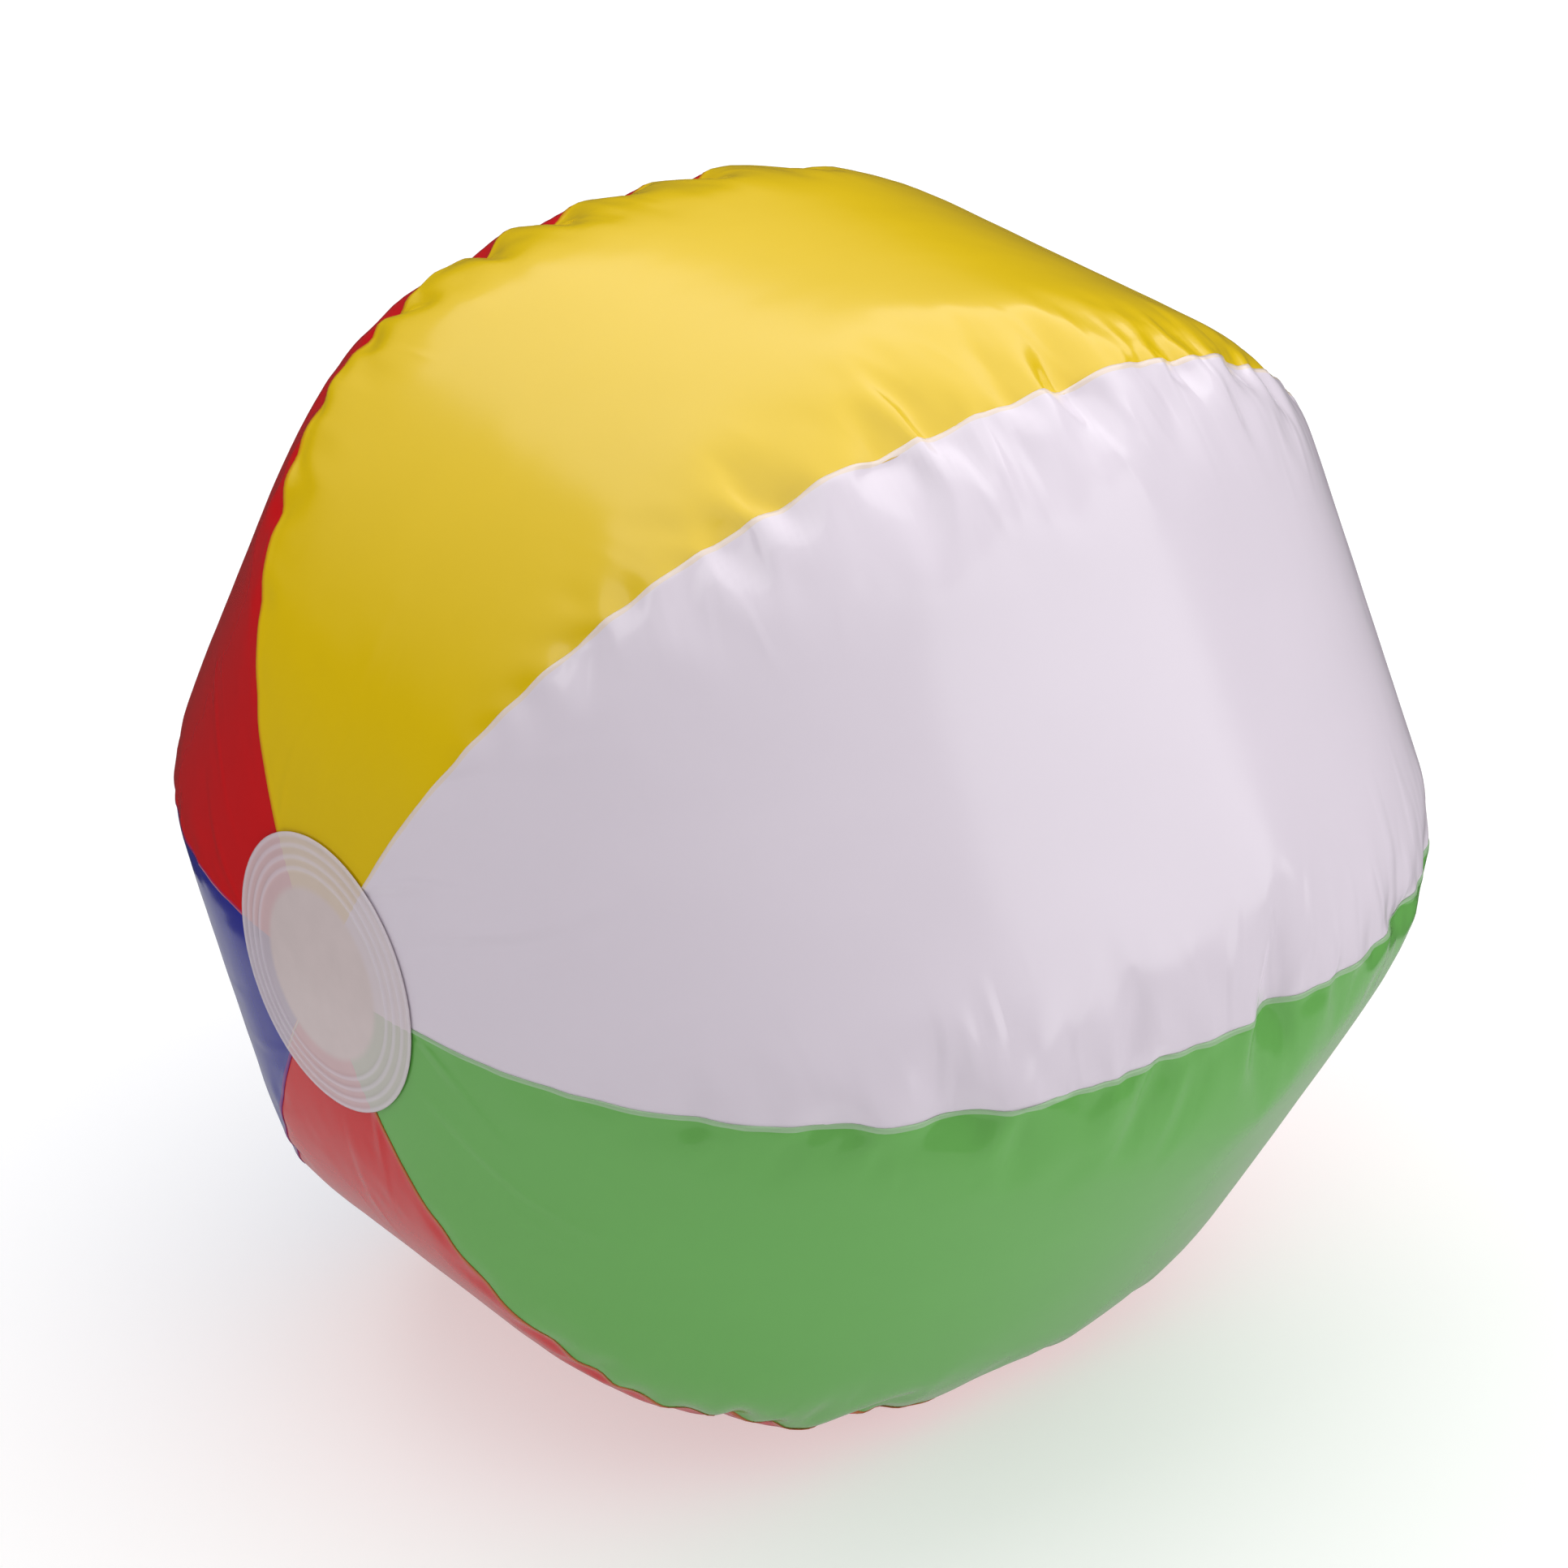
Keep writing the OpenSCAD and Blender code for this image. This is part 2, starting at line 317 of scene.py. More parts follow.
class Film:
    """The inflated film as a grid: rows from the near pole to the far one, columns round it."""

    def __init__(self):
        size = sizes()
        unevenness = 0.1 * MM             # gives the puckers a place to start
        self.cut = FlatPanel()
        self.rows = np.linspace(size.tip_r, self.cut.length - size.tip_r, size.rows)
        points, faces, self.shares = welded_dome(self.cut, self.rows)
        points += np.random.RandomState(7).normal(0, unevenness, points.shape)
        body = sheet_mesh("film_blank", points, faces)
        swell(body)
        swollen = np.array([v.co[:] for v in body.data.vertices])[:-2]
        bpy.data.objects.remove(body)
        grid = swollen.reshape(size.rows, -1, 3)
        grid *= self.scale_to_frame(grid)
        grid = self.even_tips(self.sharpen_puckers(grid)) + np.array(CENTRE)
        grid = flatten_valve_seat(grid)
        grid[..., 2] = np.maximum(grid[..., 2], 0)
        self.grid = grid
        self.normals = grid_normals(grid)

    def scale_to_frame(self, grid):
        """The share that brings the middles of the panels to just past the frame's belly."""
        past_belly = 1.006
        middle = grid[len(grid) // 2]
        facets = middle[sizes().half_columns::2 * sizes().half_columns]
        return past_belly * BELLY_R / np.mean(np.hypot(facets[:, 1], facets[:, 2]))

    def sharpen_puckers(self, grid):
        """Deepens the puckers along the seams, which the coarse cells of the cloth round off."""
        deepening = 0.4
        pucker_l = 30 * MM                # wider waves along the seam stay as they are
        seam_reach = 60 * MM
        calm_r = 80 * MM                  # the film near the discs stays as it is
        reach = int(pucker_l / (self.rows[1] - self.rows[0]))
        weights = np.hanning(2 * reach + 3)[1:-1]
        padded = np.pad(grid, ((reach, reach), (0, 0), (0, 0)), mode="edge")
        even = sum(w * padded[i:i + len(grid)] for i, w in enumerate(weights)) / weights.sum()
        half = self.cut.half_width(self.rows)[:, None]
        to_seam = np.tile(half * (1 - np.abs(self.shares)), 6)
        from_pole = np.minimum(self.rows, self.cut.length - self.rows)[:, None]
        deeper = deepening * (1 - smooth_step(to_seam / seam_reach))
        deeper *= smooth_step((from_pole - calm_r) / seam_reach)
        return grid + deeper[..., None] * (grid - even)

    def even_tips(self, grid):
        """The welded disc holds the panel tips in an even, round dome."""
        radius = np.hypot(grid[..., 1], grid[..., 2])
        even = grid * (radius.mean(axis=1, keepdims=True) / radius)[..., None]
        even[..., 0] = grid[..., 0].mean(axis=1, keepdims=True)
        from_pole = np.minimum(self.rows, self.cut.length - self.rows)
        share = 1 - smooth_step((from_pole - 0.8 * DISC_R) / DISC_R)
        return grid + share[:, None, None] * (even - grid)


def grid_normals(grid):
    """The outward direction of the film at each point of the grid."""
    along = np.gradient(grid, axis=0)
    around = np.roll(grid, -1, axis=1) - np.roll(grid, 1, axis=1)
    normals = np.cross(along, around)
    return normals / np.linalg.norm(normals, axis=-1, keepdims=True)


@functools.lru_cache(maxsize=1)
def inflated_film():
    """The one film of the ball, inflated the first time that a piece asks for it."""
    return Film()


def build_panel(number):
    """One panel with its lap over the next one, as a film with two faces."""
    size = sizes()
    film = inflated_film()
    wide = 2 * size.half_columns
    columns = [(number * wide + k) % film.grid.shape[1] for k in range(wide + 2)]
    lift = np.array([0.0] * wide + [size.film, size.film])
    points = film.grid[:, columns] + lift[None, :, None] * film.normals[:, columns]
    across = wide + 2
    faces = [(i * across + k, (i + 1) * across + k, (i + 1) * across + k + 1, i * across + k + 1)
             for i in range(len(film.rows) - 1) for k in range(across - 1)]
    piece = sheet_mesh("panel_film_" + PANELS[number], points.reshape(-1, 3), faces)
    half = film.cut.half_width(film.rows)[:, None]
    side = np.concatenate([film.shares * half, half, half + size.lap], axis=1)
    place = np.repeat(film.rows[:, None], across, axis=1)
    set_uv(piece, "flat_cut", np.stack([side, place], -1).reshape(-1, 2))
    from_tip = np.minimum(place, film.cut.length - place)
    set_uv(piece, "edges", np.stack([half - np.abs(side), from_tip], -1).reshape(-1, 2))
    finish_with(piece, "SUBSURF", levels=1, render_levels=1)
    finish_with(piece, "SOLIDIFY", thickness=size.film, offset=-1)
    piece.data.shade_smooth()
    return piece


# Radii of the embossed weld rings, as shares of the disc's radius
RINGS = (0.985, 0.91, 0.83, 0.75)


def weld_rings(radius):
    """Height of the embossed weld rings at this distance from the pole."""
    ring_width = 0.8 * MM
    ring_height = 0.35 * MM
    return sum(ring_height * math.exp(-((radius - share * DISC_R) / ring_width) ** 2)
               for share in RINGS)


def build_disc(far):
    """A clear disc over the panel tips, domed by the air and embossed with weld rings."""
    size = sizes()
    gap = 1.2 * size.film                 # keeps the disc clear of the laps
    film = inflated_film()
    grid = film.grid[::-1] if far else film.grid
    normals = film.normals[::-1] if far else film.normals
    out = np.array([1.0 if far else -1.0, 0, 0])
    tip = grid[0]
    fall = np.mean((grid[1] - grid[0])[:, 0]) / (film.rows[1] - film.rows[0])
    centre = tip.mean(axis=0)
    centre[0] -= fall * size.tip_r / 2
    steps = np.linspace(0, DISC_R, 97)[1:]
    layers = []
    for step in steps:
        if step < size.tip_r:
            share = step / size.tip_r
            layer = centre + (tip - centre) * share
            layer[:, 0] = centre[0] + (tip[:, 0] - centre[0]) * share ** 2
            toward = out + (normals[0] - out) * share
        else:
            at = (step - film.rows[0]) / (film.rows[1] - film.rows[0])
            row = int(at)
            layer = grid[row] + (at - row) * (grid[row + 1] - grid[row])
            toward = normals[row] + (at - row) * (normals[row + 1] - normals[row])
        layers.append(layer + toward * (gap + weld_rings(step)))
    points = np.concatenate([[centre + out * gap], *layers])
    ring = grid.shape[1]
    faces = [(0, 1 + k, 1 + (k + 1) % ring) for k in range(ring)]
    for i in range(len(steps) - 1):
        for k in range(ring):
            a, b = 1 + i * ring + k, 1 + i * ring + (k + 1) % ring
            faces.append((a, a + ring, b + ring, b))
    if far:
        faces = [face[::-1] for face in faces]
    piece = sheet_mesh("disc_film_far" if far else "disc_film_near", points, faces)
    radius = np.concatenate([[0], np.repeat(steps, ring)])
    angle = np.concatenate([[0], np.tile(np.arange(ring) / ring, len(steps))])
    set_uv(piece, "polar", np.stack([radius, angle], -1))
    finish_with(piece, "SOLIDIFY", thickness=size.film, offset=1)
    piece.data.shade_smooth()
    return piece


# ---- Materials ----

def link(tree, source, socket):
    """Links one output, or a node's first output that is in use, to a socket."""
    if isinstance(source, bpy.types.Node):
        source = next(output for output in source.outputs if output.enabled)
    tree.links.new(source, socket)


def add_node(tree, kind, *values, **settings):
    """Adds a node with its settings, then fills its sockets in their order with numbers,
    colours or links. None leaves a socket alone."""
    node = tree.nodes.new("ShaderNode" + kind)
    for key, value in settings.items():
        setattr(node, key, value)
    sockets = [socket for socket in node.inputs if socket.enabled]
    for socket, value in zip(sockets, values):
        if isinstance(value, (bpy.types.Node, bpy.types.NodeSocket)):
            link(tree, value, socket)
        elif value is not None:
            socket.default_value = value
    return node


def new_material(name, **settings):
    """A material with a Principled shader and the settings of its sockets."""
    material = bpy.data.materials.new(name)
    material.use_nodes = True
    tree = material.node_tree
    tree.nodes.clear()
    shader = add_node(tree, "BsdfPrincipled")
    for key, value in settings.items():
        shader.inputs[key.replace("_", " ")].default_value = value
    add_node(tree, "OutputMaterial", shader)
    return material, tree, shader


def film_noise(tree, flat, across, along, detail):
    """Noise on the flat cut whose grains are this wide and this long."""
    mapping = add_node(tree, "Mapping", flat, None, None, (1 / across, 1 / along, 1))
    return add_node(tree, "TexNoise", mapping, 1.0, detail)


def faded(tree, pattern, *ranges):
    """The pattern, falling smoothly to zero over ranges of a value, its start and its end."""
    for value, start, end in ranges:
        share = add_node(tree, "MapRange", value, start, end, 1.0, 0.0,
                         interpolation_type="SMOOTHSTEP")
        pattern = add_node(tree, "Math", pattern, share, operation="MULTIPLY")
    return pattern


def ridge(tree, value, middle, half_top, half_foot):
    """One where the value is at its middle, falling smoothly to zero on both sides."""
    above = add_node(tree, "Math", value, middle, operation="SUBTRACT")
    away = add_node(tree, "Math", above, operation="ABSOLUTE")
    return faded(tree, 1.0, (away, half_top, half_foot))


def set_relief(tree, shader, parts):
    """The bump of a surface, from pairs of a pattern and its height in metres."""
    total = 0.0
    for pattern, height in parts:
        total = add_node(tree, "Math", pattern, height, total, operation="MULTIPLY_ADD")
    bump = add_node(tree, "Bump")
    bump.inputs["Distance"].default_value = 1.0
    link(tree, total, bump.inputs["Height"])
    link(tree, bump, shader.inputs["Normal"])


def calendered_film(name, main, lapped):
    """Pigmented PVC film, calendered between polished rolls. It gives a wet gloss that ripples
    a little, small tucks at the welds and discs, and a paler double layer at a lap."""
    material, tree, shader = new_material("calendered_pvc_" + name, Roughness=0.17, IOR=1.53)
    flat = add_node(tree, "UVMap", uv_map="flat_cut")
    edges = add_node(tree, "SeparateXYZ", add_node(tree, "UVMap", uv_map="edges"))
    to_seam, from_tip = edges.outputs["X"], edges.outputs["Y"]

    cloud = film_noise(tree, flat, 60 * MM, 90 * MM, 2.0)
    tint = add_node(tree, "Mix", cloud, colour(main, 0.94), colour(main), data_type="RGBA")
    under = 0.28                          # share of the lapped film that shows through
    double = [(1 - under) * a + under * b for a, b in zip(colour(main), colour(lapped))]
    on_lap = add_node(tree, "Math", to_seam, 0.02 * MM, operation="LESS_THAN")
    tint = add_node(tree, "Mix", on_lap, tint, double, data_type="RGBA")
    link(tree, tint, shader.inputs["Base Color"])

    # A crease shows by its gloss on a dark film, but only by its shade on the white one
    crease = (0.7 if main == "white" else 0.3) * MM
    ripple = film_noise(tree, flat, 16 * MM, 22 * MM, 1.0)
    tucks = faded(tree, film_noise(tree, flat, 45 * MM, 8 * MM, 1.0),
                  (to_seam, 2 * MM, 32 * MM), (from_tip, 160 * MM, 90 * MM))
    pleats = ridge(tree, film_noise(tree, flat, 70 * MM, 16 * MM, 0.5), 0.5, 0.0, 0.12)
    pleats = faded(tree, pleats, (film_noise(tree, flat, 60 * MM, 30 * MM, 0.0), 0.5, 0.4),
                   (to_seam, 15 * MM, 50 * MM), (from_tip, 200 * MM, 120 * MM))
    rays = ridge(tree, film_noise(tree, flat, 22 * MM, 110 * MM, 0.5), 0.5, 0.0, 0.08)
    rays = faded(tree, rays, (film_noise(tree, flat, 30 * MM, 60 * MM, 0.0), 0.55, 0.45),
                 (from_tip, 50 * MM, 150 * MM))
    set_relief(tree, shader, [(ripple, 0.1 * MM), (tucks, crease), (pleats, crease / 2),
                              (rays, crease)])
    return material


def welded_clear_film():
    """Clear PVC film, blushed milky by the weld. The coloured tips show through its outer band,
    and pale lines painted along the embossed rings are a painted highlight of the light they catch."""
    material, tree, shader = new_material("welded_clear_pvc", Roughness=0.24, IOR=1.53,
                                          Alpha=0.93)
    polar = add_node(tree, "SeparateXYZ", add_node(tree, "UVMap", uv_map="polar"))
    radius, round_pole = polar.outputs["X"], polar.outputs["Y"]
    coords = add_node(tree, "TexCoord")
    cloud = add_node(tree, "TexNoise", coords.outputs["Object"], 1 / (9 * MM), 3.0)
    milky = add_node(tree, "Mix", cloud, colour("clear", 0.9), colour("clear"),
                     data_type="RGBA")
    below = milky
    for number, name in enumerate(PANELS):
        after_seam = add_node(tree, "Math", round_pole, number / len(PANELS),
                              operation="GREATER_THAN")
        below = add_node(tree, "Mix", after_seam, below, colour(name.split("_")[0]),
                         data_type="RGBA")
    clearness = 0.2                       # share of the tips' colours in the outer band
    band = add_node(tree, "Mix", 0.3, milky, colour("white", 0.9), data_type="RGBA")
    band = add_node(tree, "Mix", clearness, band, below, data_type="RGBA")
    tip_r = sizes().tip_r
    blur = 1.5 * MM
    over_tips = faded(tree, 1.0, (radius, tip_r + blur, tip_r - blur))
    tint = add_node(tree, "Mix", over_tips, milky, band, data_type="RGBA")
    # Painted highlight: the colour is mixed towards white along each embossed ring, standing in for
    # the light that the rings catch
    painted_ring_highlights = 0.0
    for share in RINGS:
        painted_ring_line = ridge(tree, radius, share * DISC_R, 0.2 * MM, 1.0 * MM)
        painted_ring_highlights = add_node(tree, "Math", painted_ring_line, 0.45, painted_ring_highlights, operation="MULTIPLY_ADD")
    tint = add_node(tree, "Mix", painted_ring_highlights, tint, colour("white"), data_type="RGBA")
    link(tree, tint, shader.inputs["Base Color"])
    set_relief(tree, shader, [(cloud, 0.06 * MM)])
    return material


def moulded_clear(name, die_pitch=None):
    """Soft clear PVC from a mould. It looks cloudy and satin, and lets some light through. Where
    a die welded it to the film, it has the die's fine rings."""
    material, tree, shader = new_material(name, Roughness=0.3, IOR=1.53,
                                          Transmission_Weight=0.35)
    coords = add_node(tree, "TexCoord")
    cloud = add_node(tree, "TexNoise", coords.outputs["Object"], 1 / (5 * MM), 3.0)
    tint = add_node(tree, "Mix", cloud, colour("white", 0.85), colour("white"),
                    data_type="RGBA")
    link(tree, tint, shader.inputs["Base Color"])
    grain = add_node(tree, "TexNoise", coords.outputs["Object"], 1 / (0.4 * MM), 2.0)
    relief = [(grain, 0.01 * MM), (cloud, 0.05 * MM)]
    if die_pitch:
        local = add_node(tree, "Mapping", coords.outputs["Object"], VALVE_SEAT,
                         VALVE_FRAME.to_euler(), vector_type="TEXTURE")
        flat = add_node(tree, "VectorMath", local, (1, 1, 0), operation="MULTIPLY")
        radius = add_node(tree, "VectorMath", flat, operation="LENGTH")
        turns = add_node(tree, "Math", radius, math.tau / die_pitch, operation="MULTIPLY")
        relief.append((add_node(tree, "Math", turns, operation="SINE"), 0.05 * MM))
    set_relief(tree, shader, relief)
    return material


# ---- The valve, modelled in its own frame ----

STEM_R = 4.8 * MM
FOOT_R = 7.0 * MM
FOOT_TOP = -8.5 * MM
HOLE_R = 7.6 * MM
FLANGE_R = 14.5 * MM
COLLAR_LOW = 0.9 * MM
COLLAR_HIGH = 1.5 * MM
MOUTH_TOP = 2.1 * MM
BEND_X = -10 * MM
STRAP_W = 3.2 * MM
CAP_LOW = 2.15 * MM
CAP_HIGH = 3.35 * MM


def turned(name, outline, solid=False):
    """A turned shape: one ring is extruded and scaled along the outline of radius and height.
    A solid starts and ends in a face, and any other outline closes on itself."""
    deselect()
    radius, height = outline[0]
    bpy.ops.mesh.primitive_circle_add(
        vertices=72, radius=radius, location=(0, 0, height),
        fill_type="NGON" if solid else "NOTHING")
    piece = bpy.context.object
    piece.name = name
    bpy.ops.object.mode_set(mode="EDIT")
    bpy.ops.mesh.select_all(action="SELECT")
    for next_radius, next_height in outline[1:] if solid else [*outline[1:], outline[0]]:
        bpy.ops.mesh.extrude_region_move(
            TRANSFORM_OT_translate={"value": (0, 0, next_height - height)})
        share = next_radius / radius
        bpy.ops.transform.resize(value=(share, share, 1), center_override=(0, 0, 0))
        radius, height = next_radius, next_height
    bpy.ops.mesh.select_all(action="SELECT")
    bpy.ops.mesh.remove_doubles(threshold=0.001 * MM)
    bpy.ops.mesh.normals_make_consistent(inside=False)
    bpy.ops.object.mode_set(mode="OBJECT")
    bpy.ops.object.transform_apply()
    return piece


def block(name, low, high):
    """A block between two corners."""
    deselect()
    low, high = Vector(low), Vector(high)
    bpy.ops.mesh.primitive_cube_add(size=1, location=(low + high) / 2, scale=high - low)
    bpy.ops.object.transform_apply()
    bpy.context.object.name = name
    return bpy.context.object


def merge_with(piece, other, operation="UNION"):
    finish_with(piece, "BOOLEAN", object=other, operation=operation, solver="EXACT")
    bpy.data.objects.remove(other)


def set_in_valve(piece, edge, material):
    """Rounds the edges, and moves the piece from the valve's own frame to its place."""
    finish_with(piece, "BEVEL", width=edge, segments=2, limit_method="ANGLE",
                angle_limit=math.radians(40), harden_normals=False)
    piece.data.shade_smooth()
    make_active(piece)
    bpy.ops.object.shade_smooth_by_angle(angle=math.radians(35))
    piece.matrix_world = VALVE_FRAME
    bpy.ops.object.transform_apply()
    piece.data.materials.clear()
    piece.data.materials.append(material)
    return piece


def build_flange():
    """The flange, thinner to its rim, with a low bead round the hole."""
    bead = 0.05 * MM
    top = 0.8 * MM
    piece = turned("valve_flange_moulding", [
        (HOLE_R, 0), (FLANGE_R, 0), (FLANGE_R, top / 2), (FLANGE_R - top, top - bead),
        (HOLE_R + 2 * MM, top - bead), (HOLE_R + 1.6 * MM, top + bead), (HOLE_R, top + bead)])
    return set_in_valve(piece, 0.12 * MM, moulded_clear("die_welded_clear_pvc", 1.2 * MM))


def build_cuff():
    """The thin sleeve between the flange's hole and the foot of the stem."""
    wall = 0.35 * MM
    gap = 0.03 * MM
    heights = np.linspace(0.5 * MM, STEM_END + 0.1 * MM, 9)
    lean = np.linspace(HOLE_R - gap, FOOT_R + gap + wall, 9)
    outline = [*zip(lean, heights), *zip(lean[::-1] - wall, heights[::-1])]
    piece = turned("valve_cuff_sleeve", outline)
    return set_in_valve(piece, 0.08 * MM, moulded_clear("thin_clear_pvc"))


def build_stem():
    """The stem: a tube with a foot, a lip, and a mouth that widens for the plug."""
    mouth_r = BORE_R + 0.7 * MM
    lip_r = 5.6 * MM
    lip_low = COLLAR_HIGH + 0.1 * MM
    piece = turned("valve_stem_moulding", [
        (BORE_R, STEM_END), (FOOT_R, STEM_END), (FOOT_R, FOOT_TOP), (STEM_R, FOOT_TOP),
        (STEM_R, lip_low), (lip_r, lip_low), (lip_r, MOUTH_TOP),
        (mouth_r, MOUTH_TOP), (BORE_R, STEM_END + BORE_L)])
    return set_in_valve(piece, 0.1 * MM, moulded_clear("moulded_clear_pvc"))


def build_collar():
    """The ring that clips round the neck of the stem, with a lug for the strap."""
    ring_r = 6.4 * MM
    neck = STEM_R + 0.02 * MM
    piece = turned("strap_collar_ring", [
        (neck, COLLAR_LOW), (ring_r, COLLAR_LOW), (ring_r, COLLAR_HIGH), (neck, COLLAR_HIGH)])
    lug = block("lug", (-ring_r - 1 * MM, -STRAP_W / 2, COLLAR_LOW),
                (-STEM_R - 0.6 * MM, STRAP_W / 2, COLLAR_HIGH))
    merge_with(piece, lug)
    return set_in_valve(piece, 0.1 * MM, moulded_clear("moulded_clear_pvc"))


def build_flap():
    """The check flap under the bore, with the tab that it bends at."""
    flap_r = BORE_R + 1 * MM
    top = STEM_END - 0.05 * MM
    low = top - 0.5 * MM
    piece = turned("check_flap_disc", [
        (flap_r, low), (flap_r, top), (BORE_R - 0.2 * MM, top),
        (BORE_R - 0.5 * MM, top + 0.03 * MM)], solid=True)
    tab = block("tab", (-STEM_R, -BORE_R / 2, low), (-flap_r + 0.5 * MM, BORE_R / 2, top))
    merge_with(piece, tab)
    return set_in_valve(piece, 0.06 * MM, moulded_clear("thin_clear_pvc"))


def build_plug():
    """The plug: a tapered spigot, a dished cap, and a finger tab with three grip ribs."""
    cap_r = 5.8 * MM
    dish_r = 4.0 * MM
    spigot_end = CAP_LOW - 3.5 * MM
    tab_end = 9.8 * MM
    tab_low = CAP_HIGH - 0.6 * MM
    rib_w = 0.4 * MM
    piece = turned("plug_moulding", [
        (2.6 * MM, spigot_end), (2.8 * MM, spigot_end + 0.3 * MM), (3.6 * MM, CAP_LOW),
        (cap_r, CAP_LOW), (cap_r, CAP_HIGH), (dish_r + 0.4 * MM, CAP_HIGH),
        (dish_r, CAP_HIGH - 0.3 * MM)], solid=True)
    tab = block("tab", (5 * MM, -STRAP_W / 2, tab_low),
                (tab_end, STRAP_W / 2, CAP_HIGH))
    merge_with(piece, tab)
    for x in (7.2 * MM, 8.2 * MM, 9.2 * MM):
        rib = block("rib", (x, -STRAP_W / 2 + 0.3 * MM, CAP_HIGH - 0.1 * MM),
                    (x + rib_w, STRAP_W / 2 - 0.3 * MM, CAP_HIGH + 0.15 * MM))
        merge_with(piece, rib)
    return set_in_valve(piece, 0.12 * MM, moulded_clear("moulded_clear_pvc"))


def build_strap():
    """The living strap: out from the collar, round its bend, and back to the cap."""
    lower = (COLLAR_LOW + COLLAR_HIGH) / 2
    upper = CAP_LOW + 0.35 * MM
    deselect()
    bpy.ops.mesh.primitive_plane_add(size=1, location=(0, 0, lower))
    piece = bpy.context.object
    piece.name = "plug_strap_band"
    start, bend = -6.0 * MM, BEND_X + 0.3 * MM
    piece.scale = (start - bend, STRAP_W, 1)
    piece.location.x = (start + bend) / 2
    bpy.ops.object.transform_apply()
    select_end(piece, bend)
    bpy.ops.mesh.spin(steps=10, angle=-math.pi, center=(bend, 0, (lower + upper) / 2),
                      axis=(0, 1, 0))
    for _ in range(4):
        bpy.ops.mesh.extrude_region_move(
            TRANSFORM_OT_translate={"value": ((-5.5 * MM - bend) / 4, 0, 0)})
    bpy.ops.mesh.select_all(action="SELECT")
    bpy.ops.mesh.normals_make_consistent(inside=False)
    bpy.ops.object.mode_set(mode="OBJECT")
    finish_with(piece, "SOLIDIFY", thickness=0.5 * MM, offset=0)
    return set_in_valve(piece, 0.08 * MM, moulded_clear("moulded_clear_pvc"))


def select_end(piece, x):
    """Selects the edge of the piece that lies at x, in edit mode."""
    make_active(piece)
    bpy.ops.object.mode_set(mode="EDIT")
    bpy.ops.mesh.select_all(action="DESELECT")
    bpy.ops.mesh.select_mode(type="EDGE")
    bpy.ops.object.mode_set(mode="OBJECT")
    points = piece.data.vertices
    for edge in piece.data.edges:
        edge.select = all(abs(points[v].co.x - x) < 0.01 * MM for v in edge.vertices)
    bpy.ops.object.mode_set(mode="EDIT")


# ---- Operators ----

class BALL_OT_panels(bpy.types.Operator):
    """Inflate the film and cut it into the six panels"""
    bl_idname = "ball.panels"
    bl_label = "Inflate the panels"

    def execute(self, context):
        cut = inflated_film().cut
        width = 2 * float(cut.half_width(cut.length / 2)) + sizes().lap
        for number, name in enumerate(PANELS):
            main = name.split("_")[0]
            lapped = PANELS[(number + 1) % len(PANELS)].split("_")[0]
            piece = build_panel(number)
            piece.data.materials.append(calendered_film(name, main, lapped))
            if name == "red_upper":
                reach = 5 * MM            # past both faces of the film
                hole = turned("hole", [(HOLE_R, -reach), (HOLE_R, reach)], solid=True)
                hole.data.transform(VALVE_FRAME)
                merge_with(piece, hole, "DIFFERENCE")
            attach(piece, "ball")
            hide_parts("panel_" + name)
            cut.area()
        return {"FINISHED"}


class BALL_OT_discs(bpy.types.Operator):
    """Weld a clear disc over the panel tips at each pole"""
    bl_idname = "ball.discs"
    bl_label = "Weld the pole discs"

    def execute(self, context):
        for far in (False, True):
            piece = build_disc(far)
            piece.data.materials.append(welded_clear_film())
            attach(piece, "ball")
            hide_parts("pole_disc_far" if far else "pole_disc_near")
        return {"FINISHED"}


class BALL_OT_valve(bpy.types.Operator):
    """Mould the flange, the cuff, the stem and the check flap"""
    bl_idname = "ball.valve"
    bl_label = "Mould the valve"

    def execute(self, context):
        for piece, body, node in ((build_flange(), "ball", "valve_flange"),
                                  (build_stem(), "stem", "valve_stem"),
                                  (build_collar(), "stem", "strap_collar"),
                                  (build_flap(), "flap", "check_flap")):
            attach(piece, body)
            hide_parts(node)
        cuff = build_cuff()
        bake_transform(cuff)
        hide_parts("valve_cuff")
        return {"FINISHED"}


class BALL_OT_plug(bpy.types.Operator):
    """Mould the plug and its strap"""
    bl_idname = "ball.plug"
    bl_label = "Mould the plug"

    def execute(self, context):
        plug = build_plug()
        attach(plug, "plug")
        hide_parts("valve_plug")
        strap = build_strap()
        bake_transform(strap)
        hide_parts("plug_strap")
        return {"FINISHED"}


class BALL_OT_stage(bpy.types.Operator):
    """Set up the floor, the soft lights and the camera"""
    bl_idname = "ball.stage"
    bl_label = "Set the stage"

    def execute(self, context):
        lay_floor(context)
        hang_soft_boxes()
        light_room(context.scene)
        place_camera(context.scene)
        return {"FINISHED"}


